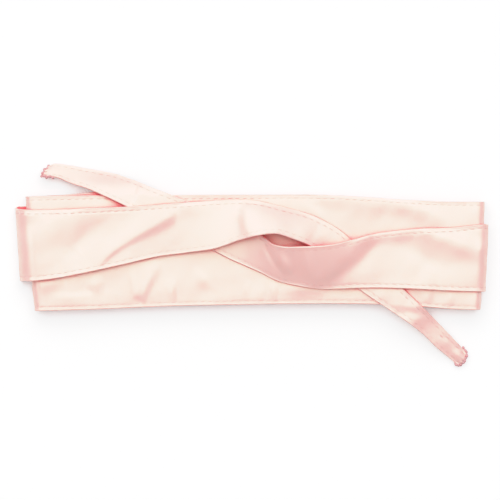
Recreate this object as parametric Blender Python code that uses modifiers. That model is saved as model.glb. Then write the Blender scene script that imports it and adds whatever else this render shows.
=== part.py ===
"""A satin sash with tapered ends, folded back and forth into a flat bundle.

Two lengths lie on top and twist once round each other: the left band leaves the left fold
and ends at the lower right, the right band leaves the right fold and ends at the upper left.
The wide band lies under them with a fold at each end, round the hidden lengths.
Sizes are in millimetres; X runs along the bundle, Y across it and Z up from the surface.
"""
import math
from collections import namedtuple

import bmesh
import bpy
import numpy as np

MM = 0.001

# Cloth and stack
CLOTH = 1.2
GAP = 0.3
PITCH = CLOTH + GAP
FLOOR_HEIGHT = CLOTH / 2
SECOND_HEIGHT = FLOOR_HEIGHT + PITCH
WIDE_EDGE_HEIGHT = 9.4
WIDE_CROWN = 0.8
LEFT_DRAPE_LENGTH = 28.0
RIGHT_DRAPE_LENGTH = 19.5
LEG_DRAPE_START = 7.0
LEG_DRAPE_LENGTH = 8.0

# Lengths of the lower legs that show beside a fold, and how far apart grid points lie
LEG_END = 112.0
STATION_SPACING = 6.5
WIDE_SPACING = 7.15
ACROSS = 10
LOOP_STEPS = 10
LEG_STEPS = 3

# A row for each place along the wide band: its two long edges.
WideRow = namedtuple("WideRow", "x upper lower")
WIDE_ROWS = [
    WideRow(-136.0, 40.8, -27.9),
    WideRow(-97.0, 41.5, -26.8),
    WideRow(-49.0, 41.7, -24.8),
    WideRow(0.0, 41.9, -23.8),
    WideRow(47.0, 41.7, -23.3),
    WideRow(71.0, 40.4, -23.6),
    WideRow(95.0, 38.7, -24.5),
    WideRow(116.0, 37.8, -26.3),
    WideRow(140.0, 37.7, -27.2),
]

# A row for each fold: where the cloth's middle turns, at the upper and the lower edge.
FoldLine = namedtuple("FoldLine", "side upper_x lower_x reach")
WIDE_LEFT = FoldLine(-1, -135.5, -130.4, 3.65)
WIDE_RIGHT = FoldLine(1, 139.6, 137.0, 3.65)
LEFT_BAND_FOLD = FoldLine(-1, -141.9, -139.1, 9.1)
RIGHT_BAND_FOLD = FoldLine(1, 141.9, 140.0, 6.3)
# The left band's fold sags: it turns low down, in a small round.
LEFT_TURN_HEIGHT = 2.6
LEFT_TURN_REACH = 2.0
# A lower leg lies a little higher on the page than the band over it, at its upper edge.
LEFT_LEG_SHIFT = 1.2
RIGHT_LEG_SHIFT = 0.4

# A row for each section of a band: its upper edge, its lower edge, and how far the cloth
# is raised over what it lies on at the upper edge, in the middle and at the lower edge.
Section = namedtuple("Section", "upper_x upper_y lower_x lower_y upper_lift middle_lift lower_lift")
LEFT_BAND = [
    Section(-132.8, 32.8, -130.0, -9.8, 0.0, 0.4, 0.6),
    Section(-115.0, 33.0, -116.2, -8.0, 0.0, 1.0, 1.2),
    Section(-97.0, 33.7, -100.6, -5.0, 0.5, 1.4, 1.5),
    Section(-73.0, 34.8, -77.2, 0.1, 1.7, 2.0, 1.4),
    Section(-52.0, 36.2, -56.2, 4.9, 1.9, 2.3, 0.6),
    Section(-34.0, 37.6, -37.0, 7.4, 1.8, 2.6, 2.2),
    Section(-19.0, 38.6, -21.4, 9.8, 1.2, 3.2, 4.8),
    Section(-5.2, 38.9, -7.0, 14.8, 0.5, 4.2, 8.0),
    Section(6.2, 37.6, 4.4, 17.6, 0.2, 5.2, 10.5),
    Section(18.8, 34.4, 14.9, 18.5, 0.0, 5.8, 11.0),
    Section(30.8, 31.3, 25.1, 15.2, 0.0, 5.2, 9.5),
    Section(42.2, 26.8, 34.7, 11.2, 0.0, 4.0, 7.0),
    Section(51.8, 21.4, 40.7, 6.4, 0.0, 2.4, 4.0),
    Section(65.0, 9.4, 51.8, -4.0, 0.0, 1.0, 1.4),
    Section(77.6, -2.3, 65.6, -15.5, 0.0, 0.3, 0.1),
    Section(90.5, -14.3, 81.5, -26.3, 0.0, 0.3, 0.0),
    Section(101.0, -24.2, 91.7, -33.2, 0.0, 0.6, 0.0),
    Section(111.2, -34.4, 104.0, -42.5, 0.0, 0.6, 0.0),
    Section(118.4, -41.6, 110.9, -49.4, 0.0, 0.6, 0.2),
    Section(123.2, -46.7, 117.2, -54.5, 0.2, 0.8, 0.4),
    Section(129.2, -52.7, 124.4, -60.7, 0.0, 0.5, 0.0),
]
RIGHT_BAND = [
    Section(135.6, 23.9, 133.7, -16.1, 0.0, 0.4, 0.0),
    Section(122.0, 22.3, 122.0, -15.8, 0.0, 0.8, 0.0),
    Section(104.0, 21.5, 104.6, -14.9, 0.0, 1.0, 0.8),
    Section(89.0, 20.3, 90.2, -14.2, 0.6, 1.6, 1.9),
    Section(74.0, 18.4, 75.8, -13.9, 2.5, 2.6, 2.0),
    Section(60.2, 14.8, 63.2, -14.0, 5.5, 4.0, 1.9),
    Section(50.0, 12.2, 51.8, -14.5, 8.5, 5.0, 1.0),
    Section(39.2, 11.0, 39.8, -14.5, 10.5, 5.6, 0.3),
    Section(29.0, 10.7, 27.2, -12.5, 11.0, 5.8, 0.0),
    Section(20.0, 10.7, 15.8, -9.8, 9.5, 4.8, 0.0),
    Section(12.2, 12.4, 5.0, -4.6, 6.0, 2.6, 0.0),
    Section(6.5, 17.2, -5.2, -0.1, 3.2, 1.4, 0.0),
    Section(-4.0, 22.3, -13.3, 3.5, 1.2, 0.6, 0.0),
    Section(-16.0, 28.0, -25.3, 9.8, 0.3, 0.2, 0.0),
    Section(-28.0, 33.7, -37.0, 15.7, 0.0, 0.0, 0.0),
    Section(-47.8, 41.6, -56.8, 25.6, 0.0, 0.0, 0.0),
    Section(-59.8, 46.1, -67.0, 31.0, 0.0, 0.0, 0.0),
    Section(-71.2, 50.9, -78.1, 36.4, 0.0, 0.2, 0.0),
    Section(-83.8, 55.1, -89.2, 41.6, 0.0, 0.4, 0.0),
    Section(-95.8, 57.2, -100.0, 46.1, 0.0, 0.5, 0.0),
    Section(-106.6, 59.0, -109.6, 49.1, 0.0, 0.5, 0.0),
    Section(-115.0, 60.3, -117.4, 51.8, 0.0, 0.6, 0.2),
    Section(-120.8, 60.3, -122.9, 52.4, 0.3, 0.9, 0.4),
    Section(-126.6, 56.8, -127.4, 51.2, 0.0, 0.4, 0.0),
]

# A row for each of the largest creases: the ends of a soft trough, its width and depth.
Crease = namedtuple("Crease", "start_x start_y end_x end_y width depth")
LEFT_CREASES = [
    Crease(-91.0, 1.6, -73.0, 13.0, 3.4, 1.0),
    Crease(-73.0, 13.0, -48.0, 28.0, 3.4, 1.0),
    Crease(-114.0, 4.0, -97.0, 27.0, 5.0, 0.7),
]
RIGHT_CREASES = [
    Crease(8.0, 13.0, 22.0, -8.0, 3.6, 0.9),
    Crease(100.0, 13.0, 128.0, 4.0, 5.0, 0.6),
]
WIDE_CREASES = [
    Crease(-62.8, -20.0, -56.0, -3.0, 3.4, 0.7),
    Crease(-45.4, -21.5, -45.4, -10.0, 3.0, 0.5),
    Crease(4.0, -20.0, 10.0, -12.0, 3.6, 0.5),
    Crease(58.0, 35.0, 96.0, 30.0, 4.5, 0.6),
]

# The tail ends are gathered into a short frill.
FRILL_LENGTH = 11.0
FRILL_HEIGHT = 1.3
FRILL_WAVES = 2.5

# The hidden lengths: one solid whose long sides show the edges of its layers.
LAYERS = 6
LAYER_GROOVE = 1.0
CORE_TOP = WIDE_EDGE_HEIGHT - CLOTH / 2 - GAP
CORE_END_REACH = WIDE_LEFT.reach - CLOTH / 2 - GAP - 0.5
CORE_STATIONS = [-122.0, -116.5, -111.2, -109.5] + list(range(-101, 102, 10)) + [109.5, 111.2, 116.5, 124.0]
CORE_ACROSS = 8
LayerEdge = namedtuple("LayerEdge", "upper_inset lower_inset swing phase")
LAYER_EDGES = [
    LayerEdge(3.2, 2.2, 0.8, 0.0),
    LayerEdge(1.8, 3.0, 0.7, 1.9),
    LayerEdge(3.6, 1.6, 0.8, 3.1),
    LayerEdge(2.2, 3.2, 0.6, 4.4),
    LayerEdge(3.0, 2.0, 0.7, 2.4),
    LayerEdge(1.4, 1.8, 0.5, 5.2),
]
SWING_LENGTH = 130.0
# The top hidden layer shows past the wide band's upper edge at the left.
PeekRow = namedtuple("PeekRow", "x inset")
PEEK_ROWS = [
    PeekRow(-136.0, -0.1),
    PeekRow(-115.0, -0.5),
    PeekRow(-93.0, -1.9),
    PeekRow(-76.0, -2.5),
    PeekRow(-60.0, -1.6),
    PeekRow(-46.0, 0.6),
    PeekRow(-30.0, 1.4),
    PeekRow(136.0, 1.4),
]

COLOURS = {
    "left_band": (0.90, 0.70, 0.64),
    "right_band": (0.88, 0.62, 0.58),
    "wide_band": (0.90, 0.72, 0.66),
    "hidden_layers": (0.80, 0.50, 0.48),
}
SATIN_ROUGHNESS = 0.38


def lerp(start, end, share):
    return start + (end - start) * share


def smooth_step(share):
    share = min(max(share, 0.0), 1.0)
    return share * share * (3.0 - 2.0 * share)


def through(knots, values, at):
    """Value at a place on the smooth curve through the rows' values."""
    knots = np.asarray(knots, dtype=float)
    values = np.asarray(values, dtype=float)
    slopes = np.gradient(values, knots, axis=0)
    left = int(np.clip(np.searchsorted(knots, at) - 1, 0, len(knots) - 2))
    span = knots[left + 1] - knots[left]
    t = (at - knots[left]) / span
    start, end = values[left], values[left + 1]
    rise_start, rise_end = slopes[left] * span, slopes[left + 1] * span
    return ((2 * t**3 - 3 * t**2 + 1) * start + (t**3 - 2 * t**2 + t) * rise_start
            + (3 * t**2 - 2 * t**3) * end + (t**3 - t**2) * rise_end)


def wide_edges(x):
    """Upper and lower edge of the wide band at a place along it."""
    knots = [row.x for row in WIDE_ROWS]
    return through(knots, [(row.upper, row.lower) for row in WIDE_ROWS], x)


def wide_height(x, y):
    """Height of the wide band's middle, lowest at its long edges."""
    upper, lower = wide_edges(x)
    share = min(abs(y - (upper + lower) / 2) / ((upper - lower) / 2), 1.0)
    return WIDE_EDGE_HEIGHT + WIDE_CROWN * (1.0 - share**4)


def lying_height(x, y, drape_length):
    """Height of a sheet that lies on the wide band and slopes down to the surface beyond it."""
    upper, lower = wide_edges(x)
    beyond = max(y - upper, lower - y, 0.0)
    on_top = wide_height(x, y) + PITCH
    return lerp(on_top, FLOOR_HEIGHT, smooth_step(beyond / drape_length))


def leg_height(y, side):
    """Height of the wide band's lower leg, on the outer leg and down beside it."""
    band = LEFT_BAND[0] if side < 0 else RIGHT_BAND[0]
    beyond = max(y - band.upper_y, band.lower_y - y) - LEG_DRAPE_START
    return lerp(SECOND_HEIGHT, FLOOR_HEIGHT, smooth_step(beyond / LEG_DRAPE_LENGTH))


def trough(creases, x, y):
    """Depth of the creases at a point."""
    depth = 0.0
    for crease in creases:
        along_x = crease.end_x - crease.start_x
        along_y = crease.end_y - crease.start_y
        length = math.hypot(along_x, along_y)
        offset_x = x - crease.start_x
        offset_y = y - crease.start_y
        along = (offset_x * along_x + offset_y * along_y) / length
        aside = (offset_x * along_y - offset_y * along_x) / length
        past = max(-along, along - length, 0.0)
        depth += crease.depth * math.exp(-(aside**2 + past**2) / crease.width**2)
    return depth


def turned(fold, share, angle, top, bottom, turn, reach):
    """Point on a fold, from its top (angle 0) round to its bottom (half a turn)."""
    edge_x = lerp(fold.upper_x, fold.lower_x, share)
    upper_half = angle <= math.pi / 2
    across = fold.reach if upper_half else reach
    centre_x = edge_x - fold.side * across
    rise = top - turn if upper_half else turn - bottom
    return centre_x + fold.side * across * math.sin(angle), turn + rise * math.cos(angle)


def across_lift(section, share):
    """Lift across a section, on the parabola through its three lifts."""
    upper, middle, lower = section[4:7]
    return (upper * (1 - share) * (1 - 2 * share) + middle * 4 * share * (1 - share)
            + lower * share * (2 * share - 1))


def band_stations(sections):
    """Sections at even steps along a band, read from the smooth curve through its rows."""
    rows = np.array(sections)
    middles = (rows[:, 0:2] + rows[:, 2:4]) / 2
    steps = np.hypot(*np.diff(middles, axis=0).T)
    knots = np.concatenate([[0.0], np.cumsum(steps)])
    count = round(knots[-1] / STATION_SPACING)
    places = np.linspace(0.0, knots[-1], count + 1)
    return [(through(knots, rows, place), knots[-1] - place) for place in places]


def frill(share, to_end):
    """Height of the gathered waves near a tail end."""
    near = smooth_step(1.0 - to_end / FRILL_LENGTH)
    return FRILL_HEIGHT * near * (0.5 - 0.5 * math.cos(2 * math.pi * FRILL_WAVES * share))


def band_points(sections, fold, turn_height, turn_reach, creases, leg_shift, drape_length):
    """Rows of points of a band: its lower leg, its fold, then along it to the tail end."""
    stations = band_stations(sections)
    shares = np.linspace(0.0, 1.0, ACROSS + 1)
    first = stations[0][0]
    rows = []
    for step in range(LEG_STEPS):
        row = []
        for share in shares:
            turn_x = lerp(fold.upper_x, fold.lower_x, share) - fold.side * turn_reach
            x = lerp(fold.side * LEG_END, turn_x, step / LEG_STEPS)
            y = lerp(first[1], first[3], share) + leg_shift * (1 - share)
            row.append((x, y, FLOOR_HEIGHT))
        rows.append(row)
    for step in range(LOOP_STEPS):
        angle = math.pi * (1.0 - step / LOOP_STEPS)
        row = []
        for share in shares:
            y = lerp(first[1], first[3], share)
            top = lying_height(first[0], y, drape_length) + across_lift(first, share)
            turn = turn_height or (top + FLOOR_HEIGHT) / 2
            x, z = turned(fold, share, angle, top, FLOOR_HEIGHT, turn, turn_reach)
            shift = leg_shift * (1 - share) * (0.5 - 0.5 * math.cos(angle))
            row.append((x, y + shift, z))
        rows.append(row)
    for section, to_end in stations:
        row = []
        for share in shares:
            x = lerp(section[0], section[2], share)
            y = lerp(section[1], section[3], share)
            lift = max(across_lift(section, share) - trough(creases, x, y), 0.0)
            row.append((x, y, lying_height(x, y, drape_length) + lift + frill(share, to_end)))
        rows.append(row)
    return rows


def wide_points():
    """Rows of points of the wide band: a leg and a fold at each end, and its top between."""
    shares = np.linspace(0.0, 1.0, ACROSS + 1)
    ends = {}
    for fold in (WIDE_LEFT, WIDE_RIGHT):
        legs, loop = [], []
        for step in range(LEG_STEPS):
            row = []
            for share in shares:
                turn_x = lerp(fold.upper_x, fold.lower_x, share) - fold.side * fold.reach
                x = lerp(fold.side * LEG_END, turn_x, step / LEG_STEPS)
                y = lerp(*wide_edges(turn_x), share)
                row.append((x, y, leg_height(y, fold.side)))
            legs.append(row)
        for step in range(LOOP_STEPS + 1):
            angle = math.pi * (1.0 - step / LOOP_STEPS)
            row = []
            for share in shares:
                turn_x = lerp(fold.upper_x, fold.lower_x, share) - fold.side * fold.reach
                y = lerp(*wide_edges(turn_x), share)
                top, bottom = wide_height(turn_x, y), leg_height(y, fold.side)
                turn = (top + bottom) / 2
                x, z = turned(fold, share, angle, top, bottom, turn, fold.reach)
                row.append((x, y, z))
            loop.append(row)
        ends[fold.side] = legs + loop
    top = []
    count = round((WIDE_RIGHT.upper_x - WIDE_LEFT.upper_x) / WIDE_SPACING)
    for step in range(1, count):
        row = []
        for share in shares:
            left_x = lerp(WIDE_LEFT.upper_x, WIDE_LEFT.lower_x, share) + WIDE_LEFT.reach
            right_x = lerp(WIDE_RIGHT.upper_x, WIDE_RIGHT.lower_x, share) - WIDE_RIGHT.reach
            x = lerp(left_x, right_x, step / count)
            y = lerp(*wide_edges(x), share)
            height = wide_height(x, y) - trough(WIDE_CREASES, x, y)
            row.append((x, y, max(height, WIDE_EDGE_HEIGHT)))
        top.append(row)
    return ends[-1] + top + ends[1][::-1]


def satin(name):
    """A material of the cloth's own colour."""
    material = bpy.data.materials.new(name)
    material.use_nodes = True
    shader = material.node_tree.nodes["Principled BSDF"]
    shader.inputs["Base Color"].default_value = (*COLOURS[name], 1.0)
    shader.inputs["Roughness"].default_value = SATIN_ROUGHNESS
    shader.inputs["Metallic"].default_value = 0.0
    return material


def add_object(name, mesh_edit, collection):
    """Make an object from an edited mesh, smooth shaded, with its material."""
    mesh_edit.normal_update()
    mesh = bpy.data.meshes.new(name)
    mesh_edit.to_mesh(mesh)
    mesh_edit.free()
    mesh.shade_smooth()
    mesh.materials.append(satin(name))
    item = bpy.data.objects.new(name, mesh)
    collection.objects.link(item)
    return item


def add_sheet(name, rows, collection):
    """Lay a grid over rows of points and give it the cloth's thickness."""
    sheet = bmesh.new()
    bmesh.ops.create_grid(sheet, x_segments=len(rows) - 1, y_segments=ACROSS, size=0.5)
    for vertex in sheet.verts:
        along = round((vertex.co.x + 0.5) * (len(rows) - 1))
        across = round((vertex.co.y + 0.5) * ACROSS)
        vertex.co = [value * MM for value in rows[along][across]]
    item = add_object(name, sheet, collection)
    wall = item.modifiers.new("cloth", "SOLIDIFY")
    wall.thickness = CLOTH * MM
    wall.offset = 0.0
    wall.use_even_offset = True
    return item


def layer_inset(side, level, x):
    """How far a hidden layer's edge lies inside the wide band's edge."""
    layer = min(level // 2, LAYERS - 1)
    edge = LAYER_EDGES[layer]
    swing = edge.swing * math.sin(2 * math.pi * x / SWING_LENGTH + edge.phase)
    inset = edge.upper_inset if side == "upper" else edge.lower_inset
    if side == "upper" and layer == LAYERS - 1:
        return through([row.x for row in PEEK_ROWS], [row.inset for row in PEEK_ROWS], x)
    return inset + swing


def core_edges(level, x):
    """Upper and lower edge of the hidden solid: a layer's edge, or the groove between two."""
    wide_upper, wide_lower = wide_edges(x)
    if level % 2:
        return (wide_upper - layer_inset("upper", level, x),
                wide_lower + layer_inset("lower", level, x))
    near = [max(level - 1, 1), min(level + 1, 2 * LAYERS - 1)]
    upper = max(layer_inset("upper", other, x) for other in near) + LAYER_GROOVE
    lower = max(layer_inset("lower", other, x) for other in near) + LAYER_GROOVE
    return wide_upper - upper, wide_lower + lower


def core_bottom(x):
    """Underside of the hidden solid: flat on the surface, and raised over the legs at each end."""
    if abs(x) < CORE_STATIONS[-3]:
        return 0.0
    return SECOND_HEIGHT + CLOTH / 2 + GAP


def core_point(station, across, level):
    """Point of the hidden solid, on a station, a share of its width and an edge level."""
    share = 1.0 - across / CORE_ACROSS
    height_share = level / (2 * LAYERS)
    inside = 0 < station <= len(CORE_STATIONS)
    if inside:
        x = CORE_STATIONS[station - 1]
        y = lerp(*core_edges(level, x), share)
        return x, y, lerp(core_bottom(x), CORE_TOP, height_share)
    fold = WIDE_LEFT if station == 0 else WIDE_RIGHT
    centre_x = lerp(fold.upper_x, fold.lower_x, share) - fold.side * fold.reach
    y = lerp(*core_edges(level, centre_x), share)
    bottom = core_bottom(centre_x)
    angle = math.pi * height_share
    x = centre_x + fold.side * CORE_END_REACH * math.sin(angle)
    return x, y, lerp(bottom, CORE_TOP, 0.5 - 0.5 * math.cos(angle))


def add_core(name, collection):
    """Cut a cube into a lattice and move its points into the hidden layers' form."""
    counts = (len(CORE_STATIONS) + 1, CORE_ACROSS, 2 * LAYERS)
    core = bmesh.new()
    bmesh.ops.create_cube(core, size=1.0)
    for axis, count in enumerate(counts):
        normal = [0.0, 0.0, 0.0]
        normal[axis] = 1.0
        for cut in range(1, count):
            place = [0.0, 0.0, 0.0]
            place[axis] = cut / count - 0.5
            parts = core.verts[:] + core.edges[:] + core.faces[:]
            bmesh.ops.bisect_plane(core, geom=parts, plane_co=place, plane_no=normal)
    for vertex in core.verts:
        station, across, level = (round((value + 0.5) * count) for value, count in zip(vertex.co, counts))
        vertex.co = [value * MM for value in core_point(station, across, level)]
    return add_object(name, core, collection)


def main():
    for item in list(bpy.data.objects):
        bpy.data.objects.remove(item, do_unlink=True)
    collection = bpy.data.collections.new("satin_sash")
    bpy.context.scene.collection.children.link(collection)
    left = band_points(LEFT_BAND, LEFT_BAND_FOLD, LEFT_TURN_HEIGHT, LEFT_TURN_REACH,
                       LEFT_CREASES, LEFT_LEG_SHIFT, LEFT_DRAPE_LENGTH)
    right = band_points(RIGHT_BAND, RIGHT_BAND_FOLD, None, RIGHT_BAND_FOLD.reach,
                        RIGHT_CREASES, RIGHT_LEG_SHIFT, RIGHT_DRAPE_LENGTH)
    add_sheet("left_band", left, collection)
    add_sheet("right_band", right, collection)
    add_sheet("wide_band", wide_points(), collection)
    add_core("hidden_layers", collection)


main()
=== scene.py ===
"""The looks of a folded satin sash: fine shells of cloth on the frame's solids.

Every length is in millimetres until a mesh is made. X runs along the bundle, Y across it
towards the top of the photograph, and Z up from the surface it lies on.
"""

import math
from collections import namedtuple

import bpy
import numpy as np
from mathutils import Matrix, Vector


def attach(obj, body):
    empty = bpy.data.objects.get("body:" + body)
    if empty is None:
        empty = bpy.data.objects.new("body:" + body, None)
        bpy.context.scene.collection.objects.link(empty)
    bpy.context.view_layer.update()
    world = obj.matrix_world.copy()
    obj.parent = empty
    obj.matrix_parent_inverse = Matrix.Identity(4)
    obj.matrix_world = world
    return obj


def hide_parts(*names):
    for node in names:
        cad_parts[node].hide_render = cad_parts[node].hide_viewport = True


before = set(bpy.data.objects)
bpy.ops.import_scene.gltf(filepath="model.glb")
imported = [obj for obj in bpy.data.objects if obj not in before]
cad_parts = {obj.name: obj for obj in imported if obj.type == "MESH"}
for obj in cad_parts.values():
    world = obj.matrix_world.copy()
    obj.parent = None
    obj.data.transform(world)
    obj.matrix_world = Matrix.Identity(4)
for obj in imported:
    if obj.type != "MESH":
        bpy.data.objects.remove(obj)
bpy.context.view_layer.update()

MM = 0.001
PIXEL = 0.6
PHOTO_PIXELS = 500

# Stack of the frame's solids: cloth wall and the gap between walls
CLOTH = 1.2
GAP = 0.3
PITCH = CLOTH + GAP
FLOOR_HEIGHT = CLOTH / 2
SECOND_HEIGHT = FLOOR_HEIGHT + PITCH
WIDE_EDGE_HEIGHT = 9.4
WIDE_CROWN = 0.5
CROWN_FLATNESS = 6
LEFT_DRAPE_LENGTH = 36.0
RIGHT_DRAPE_LENGTH = 19.5
DRAPE_ROUNDING = 0.4
LEG_DRAPE_START = 7.0
LEG_DRAPE_LENGTH = 8.0
LEG_END = 112.0
LEG_TUCK = 0.5

# The visible cloth: a thinner doubled sheet with a rolled, topstitched hem
SHEET = 0.86
LOWEST_LIFT = -0.2
FLOOR_SOFTNESS = 0.06
LOWEST_UPPER = 0.1
LOWEST_UNDER = 0.02
RIM_REACH = 0.22
ROLL_RADIUS = 0.32
ROLL_DEPTH = 0.75
HEM_EXTRA = 0.28
HEM_MIDDLE = 0.34
HEM_REACH = 0.36
GROOVE_DEPTH = 0.26
GROOVE_WIDTH = 0.42
PULL_MEAN = 0.65
PULL_SWING = 0.35
PULL_EACH_SIDE = 1 / 1.4
LEFT_INSET = 2.5
RIGHT_INSET = 2.3
WIDE_INSET = 2.1

# Steps of the grids: rows along the cloth, and close columns along its hems
ROW_STEP = 0.8
HEM_WIDTH = 5.5
HEM_SHARE = 0.42
INNER_STEP = 1.1
FEWEST_INNER = 4
STITCH_COLUMN = 8
BAND_LEG_ROWS = 24
BAND_TURN_ROWS = 24
WIDE_LEG_ROWS = 20
WIDE_TURN_ROWS = 17

# Topstitches: each thread rises from a hole, runs along the cloth and sinks again.
# Heights and radii of the profile are shares of the thread's own radius.
STITCH_PITCH = 4.4
STITCH_LENGTH = 2.9
STITCH_RADIUS = 0.17
STITCH_SIDES = 6
STITCH_LOOK_AHEAD = 0.3
ThreadPoint = namedtuple("ThreadPoint", "share height radius")
STITCH_PROFILE = [
    ThreadPoint(0.0, -0.9, 0.45),
    ThreadPoint(0.12, 0.0, 1.0),
    ThreadPoint(0.35, 0.55, 1.0),
    ThreadPoint(0.65, 0.55, 1.0),
    ThreadPoint(0.88, 0.0, 1.0),
    ThreadPoint(1.0, -0.9, 0.45),
]

# Edges of the wide band along it, and the folds at the ends of the three bands
WideRow = namedtuple("WideRow", "x upper lower")
WIDE_ROWS = [
    WideRow(-136.0, 40.8, -27.9),
    WideRow(-97.0, 41.5, -26.8),
    WideRow(-49.0, 41.7, -24.8),
    WideRow(0.0, 41.9, -23.8),
    WideRow(47.0, 41.7, -23.3),
    WideRow(71.0, 40.4, -23.6),
    WideRow(95.0, 38.7, -24.5),
    WideRow(116.0, 37.8, -26.3),
    WideRow(140.0, 37.7, -27.2),
]
WIDE_MIDDLE = WIDE_ROWS[3]

FoldLine = namedtuple("FoldLine", "side upper_x lower_x reach")
WIDE_LEFT = FoldLine(-1, -135.5, -130.4, 3.65)
WIDE_RIGHT = FoldLine(1, 139.6, 137.0, 3.65)
LEFT_BAND_FOLD = FoldLine(-1, -141.9, -139.1, 9.1)
RIGHT_BAND_FOLD = FoldLine(1, 141.9, 140.0, 6.3)
LEFT_TURN_HEIGHT = 2.6
LEFT_TURN_REACH = 2.0
LEFT_LEG_SHIFT = 2.2
RIGHT_LEG_SHIFT = 0.4

# Edges of the two narrow bands from fold to tail, and how far the cloth stands off what it lies on
Section = namedtuple("Section", "upper_x upper_y lower_x lower_y upper_lift middle_lift lower_lift")
LEFT_BAND = [
    Section(-132.8, 32.8, -130.0, -9.8, 0.0, 0.4, 0.6),
    Section(-115.0, 33.0, -116.2, -8.0, 0.0, 1.1, 1.8),
    Section(-97.0, 33.7, -100.6, -5.0, 0.5, 1.3, 2.4),
    Section(-73.0, 34.8, -77.2, 0.1, 1.7, 1.9, 2.3),
    Section(-52.0, 36.2, -56.2, 4.9, 1.9, 1.8, 1.4),
    Section(-34.0, 37.6, -37.0, 7.4, 1.8, 2.2, 2.2),
    Section(-19.0, 38.6, -21.4, 9.8, 1.2, 3.2, 4.8),
    Section(-5.2, 38.9, -7.0, 14.8, 0.5, 4.2, 8.0),
    Section(6.2, 37.6, 4.4, 17.6, 0.2, 5.2, 10.5),
    Section(18.8, 34.4, 14.9, 18.5, 0.0, 5.8, 11.0),
    Section(30.8, 31.3, 25.1, 15.2, 0.0, 5.2, 9.5),
    Section(42.2, 26.8, 34.7, 11.2, 0.0, 4.0, 7.0),
    Section(51.8, 21.4, 40.7, 6.4, 0.0, 2.4, 4.0),
    Section(65.0, 9.4, 51.8, -4.0, 0.0, 1.0, 1.4),
    Section(77.6, -2.3, 65.6, -15.5, 0.0, 0.3, 0.1),
    Section(90.5, -14.3, 81.5, -26.3, 0.0, 0.5, 0.6),
    Section(101.0, -24.2, 91.7, -33.2, 0.0, 0.9, 1.5),
    Section(111.2, -34.4, 104.0, -42.5, 0.0, 1.1, 1.8),
    Section(118.4, -41.6, 110.9, -49.4, 0.0, 1.0, 1.6),
    Section(123.2, -46.7, 117.2, -54.5, 0.1, 0.7, 0.9),
    Section(129.2, -52.7, 124.4, -60.7, 0.0, 0.5, 0.0),
]
RIGHT_BAND = [
    Section(135.6, 23.9, 133.7, -16.1, 0.0, 0.4, 0.3),
    Section(122.0, 22.3, 122.0, -15.8, 0.0, 0.8, 0.8),
    Section(104.0, 21.5, 104.6, -14.9, 0.0, 1.0, 1.3),
    Section(89.0, 20.3, 90.2, -14.2, 0.6, 1.6, 1.9),
    Section(74.0, 18.4, 75.8, -13.9, 2.5, 2.6, 2.0),
    Section(60.2, 14.8, 63.2, -14.0, 5.5, 3.8, 2.1),
    Section(50.0, 12.2, 51.8, -14.5, 8.5, 4.8, 1.5),
    Section(39.2, 11.0, 39.8, -14.5, 10.5, 5.6, 0.3),
    Section(29.0, 10.7, 27.2, -12.5, 11.0, 5.8, 0.0),
    Section(20.0, 10.7, 15.8, -9.8, 9.5, 4.8, 0.0),
    Section(12.2, 12.4, 5.0, -4.6, 7.0, 3.1, 0.0),
    Section(6.5, 17.2, -5.2, -0.1, 4.2, 1.8, 0.0),
    Section(-4.0, 22.3, -13.3, 3.5, 1.5, 0.7, 0.0),
    Section(-16.0, 28.0, -25.3, 9.8, 0.3, 0.2, 0.0),
    Section(-28.0, 33.7, -37.0, 15.7, 0.0, 0.0, 0.0),
    Section(-47.8, 41.6, -56.8, 25.6, 0.0, 0.0, 0.3),
    Section(-59.8, 46.1, -67.0, 31.0, 0.0, 0.2, 1.2),
    Section(-71.2, 50.9, -78.1, 36.4, 0.0, 0.5, 1.8),
    Section(-83.8, 55.1, -89.2, 41.6, 0.0, 0.6, 1.0),
    Section(-95.8, 57.2, -100.0, 46.1, 0.0, 0.5, 0.0),
    Section(-106.6, 59.0, -109.6, 49.1, 0.0, 0.5, 0.0),
    Section(-115.0, 60.4, -117.0, 52.2, 0.0, 0.6, 0.4),
    Section(-119.0, 60.6, -121.2, 53.0, 0.1, 0.8, 1.0),
    Section(-122.4, 59.0, -125.8, 53.2, 0.0, 0.5, 1.0),
]

# How strongly the topstitches pull the cloth in along each hem
PullRow = namedtuple("PullRow", "x upper lower")
LEFT_PULL = [
    PullRow(-142.0, 1.7, 0.9),
    PullRow(-90.0, 1.6, 0.5),
    PullRow(-40.0, 0.8, 0.3),
    PullRow(30.0, 0.7, 0.3),
    PullRow(90.0, 1.0, 0.6),
    PullRow(130.0, 1.0, 0.6),
]
RIGHT_PULL = [
    PullRow(-126.0, 0.3, 0.3),
    PullRow(-80.0, 0.6, 0.4),
    PullRow(-45.0, 0.9, 0.5),
    PullRow(10.0, 0.5, 0.6),
    PullRow(60.0, 0.6, 0.9),
    PullRow(96.0, 1.3, 0.7),
    PullRow(142.0, 1.5, 0.9),
]
WIDE_PULL = [
    PullRow(-136.0, 1.0, 1.1),
    PullRow(-104.0, 0.9, 0.7),
    PullRow(-80.0, 0.9, 0.45),
    PullRow(70.0, 0.8, 0.45),
    PullRow(140.0, 0.8, 0.6),
]

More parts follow.
